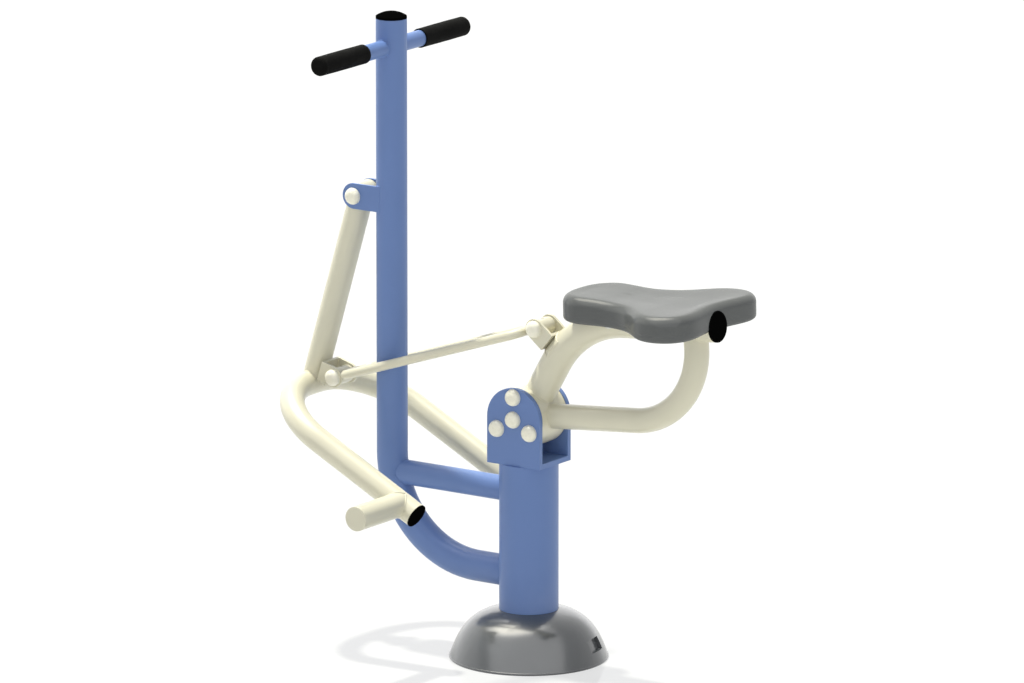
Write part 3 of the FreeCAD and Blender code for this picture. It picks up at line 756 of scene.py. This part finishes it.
# %% Bead tree
bead_tree, bench, wires = new_tree("lay_bead", {
    "Bead radius": "Float", "Ripple pitch": "Float", "Ripple depth": "Float", "Step": "Float",
    "Profile points": "Int", "Finish": "Material"})
path = bench.node("GeometryNodeMeshToCurve", None, {"Mesh": wires["Geometry"]})["Curve"]
path = bench.node("GeometryNodeResampleCurve", {"mode": "LENGTH"},
                  {"Curve": path, "Length": wires["Step"]})["Curve"]
along_path = bench.node("GeometryNodeSplineParameter")["Length"]
ripple = (along_path * math.tau / wires["Ripple pitch"]).sine()
swell = 1.0 + ripple * wires["Ripple depth"]
ring = bench.node("GeometryNodeCurvePrimitiveCircle", None,
                  {"Resolution": wires["Profile points"], "Radius": wires["Bead radius"]})["Curve"]
bead = bench.node("GeometryNodeCurveToMesh", None,
                  {"Curve": path, "Profile Curve": ring, "Scale": swell, "Fill Caps": True})["Mesh"]
end_tree(bench, bead, wires["Finish"])
print("bead tree nodes:", len(bead_tree.nodes))

# %% Lay the beads
def path_mesh(name, lines):
    points, edges = [], []
    for run, closed in lines:
        start = len(points)
        points += run
        edges += [(start + k, start + k + 1) for k in range(len(run) - 1)]
        if closed:
            edges.append((start + len(run) - 1, start))
    return mesh_from(name, points, edges)


for body, paint, slot, radius in (("stand", blue_coat, "blue_paint", 1.7),
                                  ("seat_frame", cream_coat, "cream_paint", 1.6),
                                  ("lever", cream_coat, "cream_paint", 1.6),
                                  ("link", cream_coat, "cream_paint", 1.3)):
    beads = new_object("weld_beads_" + body, path_mesh("weld_path_" + body, joints[body]))
    run_tree(beads, bead_tree, {
        "Bead radius": radius * MM, "Ripple pitch": 2.6 * MM, "Ripple depth": 0.07, "Step": 0.65 * MM,
        "Profile points": 10, "Finish": paint})
    fit_piece(beads, body, paint)

# %% [markdown]
# The cover is moulded with a small rolled lip round its foot, which the photograph shows as a
# thin light line. It is the same bead with no ripple, laid on a circle just off the ground.

# %% Lip of the cover
lip_circle_r, lip_height = 150.9 * MM, 2.7 * MM
circle = [Vector((x, y, lip_height)) for x, y in round_outline(lip_circle_r, steps=240)]
lip = new_object("cover_lip", path_mesh("lip_path", [(circle, True)]))
run_tree(lip, bead_tree, {
    "Bead radius": 2.6 * MM, "Ripple pitch": 1.0, "Ripple depth": 0.0, "Step": 4.0 * MM,
    "Profile points": 14, "Finish": cover_skin})
fit_piece(lip, "stand", cover_skin)

# %% [markdown]
# ## Bolt caps
# Fourteen domed caps hide the bolt heads and nuts. They are one moulding repeated, so one cap is
# shaped by rule and placed on points: a flat grid is rolled up, its height and radius follow a
# rounded curve, and a small dimple, the mark of the mould's gate, is pressed in near the top.
# Each point carries the turn that faces its cap outwards, with the dimple uppermost.

# %% Roll a grid into a dome
wall_round, crown_round = 0.80, 0.86
cap_tree, bench, wires = new_tree("bolt_caps", {
    "Cap radius": "Float", "Cap height": "Float", "Dimple radius": "Float", "Dimple depth": "Float",
    "Sides": "Int", "Finish": "Material"})
grid = bench.node("GeometryNodeMeshGrid", None,
                  {"Size X": 1.0, "Size Y": 1.0, "Vertices X": 22, "Vertices Y": wires["Sides"]})["Mesh"]
flat_place = bench.node("GeometryNodeInputPosition")["Position"]
spot = bench.node("ShaderNodeSeparateXYZ", None, {"Vector": flat_place})
climb = (spot["X"] + 0.5) * (math.pi / 2)
around = (spot["Y"] + 0.5) * -math.tau
reach = wires["Cap radius"] * climb.cosine().at_least(0.0) ** wall_round
tall = wires["Cap height"] * climb.sine() ** crown_round
rolled = bench.node("ShaderNodeCombineXYZ", None,
                    {"X": reach * around.cosine(), "Y": reach * around.sine(), "Z": tall})["Vector"]
dome = bench.node("GeometryNodeSetPosition", None, {"Geometry": grid, "Position": rolled})["Geometry"]
dome = bench.node("GeometryNodeMergeByDistance", None, {"Geometry": dome, "Distance": 0.01 * MM})["Geometry"]
print("nodes for the dome:", len(cap_tree.nodes))

# %% Press the dimple and repeat the cap
dimple_out, dimple_up = 0.70, 0.76
here = bench.node("GeometryNodeInputPosition")["Position"]
mark = bench.node("ShaderNodeCombineXYZ", None, {
    "X": 0.0, "Y": wires["Cap radius"] * dimple_out, "Z": wires["Cap height"] * dimple_up})["Vector"]
away = bench.node("ShaderNodeVectorMath", {"operation": "DISTANCE"}, {0: here, 1: mark})["Value"]
press = 1.0 - bench.between(away / wires["Dimple radius"], 0.45, 1.25)
outward = bench.node("GeometryNodeInputNormal")["Normal"]
pressed = bench.node("ShaderNodeVectorMath", {"operation": "SCALE"},
                     {0: outward, "Scale": press * wires["Dimple depth"] * -1.0})["Vector"]
cap = bench.node("GeometryNodeSetPosition", None, {"Geometry": dome, "Offset": pressed})["Geometry"]
facing = bench.node("GeometryNodeInputNamedAttribute", {"data_type": "FLOAT_VECTOR"},
                    {"Name": "facing"})["Attribute"]
turned = bench.node("FunctionNodeEulerToRotation", None, {"Euler": facing})["Rotation"]
placed = bench.node("GeometryNodeInstanceOnPoints", None,
                    {"Points": wires["Geometry"], "Instance": cap, "Rotation": turned})["Instances"]
end_tree(bench, placed, wires["Finish"])
print("cap tree nodes:", len(cap_tree.nodes))

# %% Place the caps
FACE_NEAR = (math.pi / 2, 0.0, 0.0)
FACE_FAR = (-math.pi / 2, math.pi, 0.0)
cap_high = 13 * MM
hub_circle_r = 43.5 * MM


def caps_on(name, body, places, replaced):
    """places are (x, z, half): caps stand at plus and minus half in Y."""
    spots, turns = [], []
    for x, z, half in places:
        spots += [(x, -half, z), (x, half, z)]
        turns += [FACE_NEAR, FACE_FAR]
    mesh = mesh_from(name + "_points", spots)
    facing = mesh.attributes.new("facing", "FLOAT_VECTOR", "POINT")
    facing.data.foreach_set("vector", [v for turn in turns for v in turn])
    caps = new_object(name, mesh)
    run_tree(caps, cap_tree, {
        "Cap radius": 16.5 * MM, "Cap height": cap_high, "Dimple radius": 1.9 * MM, "Dimple depth": 0.8 * MM,
        "Sides": 61, "Finish": cap_cream_with_painted_light})
    fit_piece(caps, body, cap_cream_with_painted_light, replaced)


hub_face, lever_face, fork_face = (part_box(node)[1].y - cap_high
                                   for node in ("hub_caps", "lever_pivot_caps", "seat_link_caps"))
stand_spots = [(axle.x, axle.z, hub_face)]
for degrees in (90, 210, 330):
    turn = math.radians(degrees)
    across, up = hub_circle_r * math.cos(turn), hub_circle_r * math.sin(turn)
    stand_spots.append((axle.x + across, axle.z + up, hub_face))
stand_spots.append((lever_pivot.x, lever_pivot.z, lever_face))
caps_on("bolt_caps_stand", "stand", stand_spots, ("hub_caps", "lever_pivot_caps"))
caps_on("bolt_caps_seat_frame", "seat_frame", [(link_front.x, link_front.z, fork_face)], ("seat_link_caps",))
caps_on("bolt_caps_lever", "lever", [(link_rear.x, link_rear.z, fork_face)], ("lever_link_caps",))

# %% [markdown]
# ## The saddle
# The saddle is a thick moulding: a plan like a bicycle saddle's, straight walls, a generous round
# along the top and a smaller one below. Its outline is a closed smooth curve through the
# drawing's points. The body is built as a stack of rings that move in and up along the wall's
# profile, and then close over a spine down the middle, so the top can sink a little where the
# rider sits. A fine line where the two halves of the mould met runs round the wall. The outline
# starts at the tip of the nose, so its points are the same on both sides and meet on the spine.
# These cells work in the drawing's millimetres until the mesh is made.

# %% Saddle outline
saddle_half = [(105.0, 0.0), (106.0, 22.0), (110.0, 40.5), (119.0, 59.5), (135.0, 76.0), (157.0, 86.0),
               (185.0, 86.5), (215.0, 84.5), (248.0, 87.0), (278.0, 96.5), (308.0, 116.5),
               (336.0, 141.0), (358.0, 154.0), (380.0, 158.5), (401.0, 156.0), (419.0, 146.5),
               (433.0, 129.5), (440.5, 105.5), (440.0, 79.0), (434.5, 47.0), (430.5, 19.0), (429.5, 0.0)]
points_round = 264


def bends_at(knots, ahead, span):
    """How strongly the smooth closed curve through the knots bends at each of them."""
    n = len(knots)
    system, right = np.zeros((n, n)), np.zeros((n, 2))
    for i in range(n):
        before, after = span[i - 1], span[i]
        system[i, i - 1] += before / 6
        system[i, i] += (before + after) / 3
        system[i, (i + 1) % n] += after / 6
        right[i] = ahead[i] / after - ahead[i - 1] / before
    return np.linalg.solve(system, right)


def closed_curve(points, count, steps_per_span=40):
    """Even points on the smooth closed curve through the given ones, and their inward normals."""
    knots = np.array(points, float)
    n = len(knots)
    ahead = np.roll(knots, -1, 0) - knots
    span = np.linalg.norm(ahead, axis=1)
    bends = bends_at(knots, ahead, span)
    fine = []
    for i in range(n):
        h, j = span[i], (i + 1) % n
        for t in np.linspace(0, 1, steps_per_span, endpoint=False):
            a, b = (1 - t), t
            fine.append(a * knots[i] + b * knots[j]
                        + ((a ** 3 - a) * bends[i] + (b ** 3 - b) * bends[j]) * h * h / 6)
    fine = np.array(fine)
    steps = np.linalg.norm(np.roll(fine, -1, 0) - fine, axis=1)
    walked = np.concatenate([[0], np.cumsum(steps)])
    wrapped = np.vstack([fine, fine[:1]])
    even = np.linspace(0, walked[-1], count, endpoint=False)
    ring = np.stack([np.interp(even, walked, wrapped[:, k]) for k in range(2)], 1)
    along = np.roll(ring, -1, 0) - np.roll(ring, 1, 0)
    along /= np.linalg.norm(along, axis=1)[:, None]
    return ring, np.stack([-along[:, 1], along[:, 0]], 1), walked[-1]


whole = [(x, -y) for x, y in saddle_half] + saddle_half[-2:0:-1]
saddle_ring, saddle_in, girth = closed_curve(whole, points_round)
print("saddle outline:", len(saddle_ring), "points, girth", round(girth), "mm")

# %% Saddle wall and top
thick, top_round, foot_round = 49.5, 17.0, 8.0
mould_line = [(0.0, 13.4), (0.0, 14.1), (0.12, 14.3), (0.12, 14.6), (0.0, 14.8), (0.0, 15.5)]
wall = [(foot_round * (1 - math.sin(a)), foot_round * (1 - math.cos(a)))
        for a in np.linspace(0, math.pi / 2, 8)]
wall += mould_line + [(0.0, 25.0)]
wall += [(top_round * (1 - math.cos(a)), thick - top_round + top_round * math.sin(a))
         for a in np.linspace(0, math.pi / 2, 13)]


def step(value, low, high):
    """0 below low, 1 above high, a smooth step between."""
    t = min(1.0, max(0.0, (value - low) / (high - low)))
    return t * t * (3 - 2 * t)


def rim_lift(x):
    """The rim stands 1.7 mm higher at the nose and 1.2 mm lower at the waist."""
    nose = 1 - step(x, 150, 235)
    waist = step(x, 195, 250) * (1 - step(x, 285, 345))
    return 1.7 * nose - 1.2 * waist


def saddle_height(x, share):
    """Height of the top: it sinks 2.4 mm where the rider sits and 1 mm along the nose."""
    seat = step(x, 200, 330) * (1 - step(x, 380, 430))
    return thick - step(share, 0.0, 0.75) * (1.0 + 1.4 * seat)


print("points up the wall:", len(wall), "thickness under the rider:", round(saddle_height(355, 1.0), 2), "mm")

# %% Saddle body
spine_front, spine_back = 150.0, 385.0
foot_rings, top_rings = 8, 14
lift_from, lift_full = 22.0, thick - 3.0
front_top, slope = 736.0, math.atan(0.023)


def toward_spine(ring, share):
    """The ring's points, this share of the way to the spine."""
    spine = np.stack([np.clip(ring[:, 0], spine_front, spine_back), np.zeros(len(ring))], 1)
    return ring + (spine - ring) * share


rings = []
for share in np.linspace(1.0, 0.0, foot_rings + 1)[:-1]:
    rings.append([(x, y, 0.0) for x, y in toward_spine(saddle_ring + saddle_in * foot_round, share)])
for inset, rise in wall:
    rings.append([(x, y, rise) for x, y in saddle_ring + saddle_in * inset])
for share in np.linspace(0.0, 1.0, top_rings + 1)[1:]:
    flat = toward_spine(saddle_ring + saddle_in * top_round, share)
    rings.append([(x, y, saddle_height(x, share)) for x, y in flat])
points = []
for x, y, rise in sum(rings, []):
    z = rise - thick + rim_lift(x) * step(rise, lift_from, lift_full)
    points.append(Vector((x * math.cos(slope) - z * math.sin(slope), y,
                          front_top + x * math.sin(slope) + z * math.cos(slope))) * MM)
saddle = new_object("saddle", mesh_from("saddle", points, (), tube_faces(len(rings), points_round)))
clean_shell(saddle.data)

# %% [markdown]
# The frame tube lies in a channel under the saddle, and its end plug shows at the back. The
# channel is cut with a rod of the tube's size plus its clearance, swept along the tube's own
# path and open below, which is how the pattern maker would form it too.

# %% Channel for the frame tube
channel_r, channel_deep = 30.5 * MM, 45 * MM
bend_sweep = math.radians(50)
straight_run = (300, 360, 420, 520)
line = [bend_level + Vector((-math.sin(a), 0.0, math.cos(a))) * bend_r
        for a in np.linspace(bend_sweep, 0, 26)]
line += [Vector((x * MM, 0.0, axle.z + upper_rise)) for x in straight_run]
line = [tilted(p) for p in line]
section = [(channel_r * math.cos(a), channel_r * math.sin(a)) for a in np.linspace(0, math.pi, 33)]
section += [(-channel_r, -channel_deep), (channel_r, -channel_deep)]
rod = []
for k, p in enumerate(line):
    way = (line[min(k + 1, len(line) - 1)] - line[max(k - 1, 0)]).normalized()
    rise = way.cross(AWAY)
    rod += [p + AWAY * a + rise * b for a, b in section]
sides = len(section)
ends = [tuple(range(sides)), tuple(range(len(rod) - sides, len(rod)))]
rod_faces = tube_faces(len(line), sides) + ends
cutter = new_object("channel_cutter", mesh_from("channel_cutter", rod, (), rod_faces))
clean_shell(cutter.data, merge=False)
trim = saddle.modifiers.new("channel", "BOOLEAN")
trim.operation, trim.solver, trim.object = "DIFFERENCE", "EXACT", cutter
settle(saddle)
bpy.data.objects.remove(cutter)
smooth_by_angle(saddle.data, degrees=35)
fit_piece(saddle, "seat_frame", saddle_skin, ("seat",))

# %% [markdown]
# ## Grips
# The grips are foam sleeves pushed over the bar. Foam never stays a true cylinder: it bulges a
# little in the middle of the hand, its open end turns in over the bar and its closed end is
# round. Each sleeve is turned from a profile, and slow waves keep it from looking machined.

# %% Profile of a sleeve
inner, outer, radius, hole = 92.0, 242.5, 19.0, 16.0
bulge, end_round = 0.35, 8.0
profile = [(inner + 2.0, hole), (inner + 0.3, hole + 0.4), (inner, hole + 1.2), (inner + 0.2, radius - 1.0),
           (inner + 1.4, radius - 0.2)]
profile += [(y, radius - bulge + bulge * math.sin(math.pi * (y - inner) / (outer - inner)))
            for y in np.linspace(inner + 4, outer - 9, 40)]
profile += [(outer - end_round + end_round * math.sin(a), radius - 0.2 - end_round + end_round * math.cos(a))
            for a in np.linspace(0.1, math.pi / 2, 10)]
profile += [(outer - 0.1, 7.0), (outer - 0.35, 3.0), (outer - 0.45, 0.02)]
print("sleeve profile:", len(profile), "points, widest radius", round(max(r for y, r in profile), 2), "mm")

# %% Grip sleeves
sleeve_sides = 72
wave, end_middle = 0.06, 1.0


def sleeve_point(side, y, r, a):
    """A point of the sleeve at angle a round the bar. The middle of the closed end is one point."""
    across = up = 0.0
    if r > end_middle:
        across = (r + wave * math.sin(5 * a + y * 0.11)) * math.cos(a)
        up = (r + wave * math.sin(4 * a - y * 0.13)) * math.sin(a)
    return Vector((handle_x / MM + across, side * y, bar_z / MM + up)) * MM


around_bar = np.linspace(0, math.tau, sleeve_sides, endpoint=False)
points = [sleeve_point(side, y, r, a) for side in (-1, 1) for y, r in profile for a in around_bar]
one_sleeve = tube_faces(len(profile), sleeve_sides)
other_sleeve = [tuple(i + len(points) // 2 for i in face) for face in one_sleeve]
sleeves = new_object("grip_sleeves", mesh_from("grip_sleeves", points, (), one_sleeve + other_sleeve))
clean_shell(sleeves.data)
smooth_by_angle(sleeves.data, degrees=50)
fit_piece(sleeves, "stand", grip_foam, ("handle_grips",))

# %% [markdown]
# ## Floor and light
# The photograph shows the machine on a white floor in white surroundings, under one warm lamp
# high up behind its left side. The floor is a real pale surface that bounces light and holds
# the shadow. For the camera and for reflections it is mixed with plain white of strength 1, so
# that it reads as white paper without extra light on the machine. The world does the same.

# %% Floor
WHITE = (1.0, 1.0, 1.0, 1.0)
floor_half = 14.0
white_share, sheen_share = 0.70, 0.07
paper_dark, paper_light = (0.56, 0.567, 0.575, 1.0), (0.58, 0.587, 0.595, 1.0)


def sees_background(rays):
    """1 for the rays that meet the white: from the camera, off gloss and through glass."""
    return rays["Is Camera Ray"].at_least(rays["Is Glossy Ray"]).at_least(rays["Is Transmission Ray"])


corners = [(x * floor_half, y * floor_half, 0) for x, y in ((-1, -1), (1, -1), (1, 1), (-1, 1))]
floor = new_object("floor", mesh_from("floor", corners, (), [(0, 1, 2, 3)]))
paper = bpy.data.materials.new("white_floor")
paper.use_nodes = True
paper.node_tree.nodes.clear()
bench = Bench(paper.node_tree)
seen = sees_background(bench.node("ShaderNodeLightPath"))
place = bench.node("ShaderNodeTexCoord")["Object"]
mottled = bench.tint(bench.grain(place, scale=3.0), paper_dark, paper_light)
matt = bench.node("ShaderNodeBsdfDiffuse", None, {"Color": mottled})["BSDF"]
glow = bench.node("ShaderNodeEmission", None, {"Color": WHITE, "Strength": 1.0})["Emission"]
sheet = bench.node("ShaderNodeMixShader", None, {0: seen * white_share, 1: matt, 2: glow})["Shader"]
sheen = bench.node("ShaderNodeBsdfAnisotropic", None, {"Color": WHITE, "Roughness": 0.10})["BSDF"]
mixed = bench.node("ShaderNodeMixShader", None, {0: sheen_share, 1: sheet, 2: sheen})["Shader"]
bench.node("ShaderNodeOutputMaterial", None, {"Surface": mixed})
floor.data.materials.append(paper)
floor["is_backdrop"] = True
print("floor side:", 2 * floor_half, "m")

# %% [markdown]
# Gloss is only as interesting as what it reflects. In a room of even white, the cover would look
# like chalk. So the rays that leave glossy skins see soft panels on the white walls: one wide
# panel on the viewer's side, one at the left, and a warm glow round the lamp. The panels only
# add to the white, and no other ray sees them.

# %% World
to_lamp = Vector((-0.355, 0.09, 1.0)).normalized()
panel_side, panel_front = (0.70, -0.247, 0.672), (-0.134, -0.888, 0.441)
wide_light, left_light, lamp_light = 1.5, 0.5, 9.0
glow_edge, glow_core = math.radians(30), math.radians(7)
room_colour, room_light = (0.955, 0.985, 1.02, 1.0), 0.62
glow_colour = (1.0, 0.96, 0.84, 1.0)

world = bpy.data.worlds.new("white_room")
bpy.context.scene.world = world
world.use_nodes = True
world.node_tree.nodes.clear()
bench = Bench(world.node_tree)
rays = bench.node("ShaderNodeLightPath")
sky = bench.node("ShaderNodeTexCoord")["Generated"]


def toward(aim):
    """How far a ray points this way: 1 along it, 0 square to it."""
    return bench.node("ShaderNodeVectorMath", {"operation": "DOT_PRODUCT"}, {0: sky, 1: tuple(aim)})["Value"]


across_room = toward(panel_side)
wide_panel = bench.between(across_room, 0.10, 0.20) * bench.between(toward(panel_front), -0.04, 0.10)
left_panel = 1.0 - bench.between(across_room, -0.16, -0.08)
lamp_glow = bench.between(toward(to_lamp), math.cos(glow_edge), math.cos(glow_core))
panels = wide_panel * wide_light + left_panel * left_light + lamp_glow * lamp_light
dim = bench.node("ShaderNodeBackground", None, {"Color": room_colour, "Strength": room_light})["Background"]
bright = bench.node("ShaderNodeBackground", None, {
    "Color": bench.tint(lamp_glow * rays["Is Glossy Ray"], WHITE, glow_colour),
    "Strength": 1.0 + panels * rays["Is Glossy Ray"]})["Background"]
mixed = bench.node("ShaderNodeMixShader", None, {0: sees_background(rays), 1: dim, 2: bright})["Shader"]
bench.node("ShaderNodeOutputWorld", None, {"Surface": mixed})
print("world nodes:", len(world.node_tree.nodes))

# %% Lamp
lamp = bpy.data.lights.new("warm_lamp", "SUN")
lamp.energy = 4.6
lamp.angle = math.radians(3.0)
lamp.color = (1.0, 0.985, 0.86)
lamp_object = bpy.data.objects.new("warm_lamp", lamp)
lamp_object.rotation_euler = to_lamp.to_track_quat("Z", "Y").to_euler()
lamp_object.visible_glossy = False
bpy.context.scene.collection.objects.link(lamp_object)
print("lamp stands", round(math.degrees(math.asin(to_lamp.z))), "degrees above the floor")

# %% [markdown]
# ## Camera
# The photograph was taken, or drawn, from far away with a long lens: upright tubes stay upright
# and the far grip is hardly smaller than the near one. The place below was found by fitting
# twenty known points of the machine to their places in the picture.

# %% Camera
azimuth, elevation = math.radians(34.8), math.radians(12.95)
distance = 21.985
picture_wide, lens_in_pixels, sensor_wide = 1024, 11522, 36.0
target = Vector((-0.0393, 0.0, 0.61416))
back = Vector((math.sin(azimuth) * math.cos(elevation), -math.cos(azimuth) * math.cos(elevation),
               math.sin(elevation)))
right = Vector((math.cos(azimuth), math.sin(azimuth), 0.0))
camera = bpy.data.cameras.new("camera")
camera.sensor_width = sensor_wide
camera.lens = lens_in_pixels / picture_wide * sensor_wide
camera.clip_end = 200.0
camera_object = bpy.data.objects.new("camera", camera)
camera_object.location = target + back * distance
camera_object.rotation_euler = Matrix((right, back.cross(right), back)).transposed().to_euler()
bpy.context.scene.collection.objects.link(camera_object)
bpy.context.scene.camera = camera_object
bpy.context.scene.view_settings.view_transform = "Standard"
print("camera at", [round(v, 3) for v in camera_object.location], "lens", round(camera.lens), "mm")

# %% [markdown]
# ## Last checks
# The looks may not change the machine's size, so the box of the model and the box of what now
# shows are compared, and their largest difference is printed.

# %% Compare the boxes and finish
shown_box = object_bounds()
sizes = {"model": [list(corner) for corner in model_box], "shown": [list(corner) for corner in shown_box]}
largest = max(abs(a - b) for m, s in zip(sizes["model"], sizes["shown"]) for a, b in zip(m, s))
print("largest difference in mm:", round(largest / MM, 2))
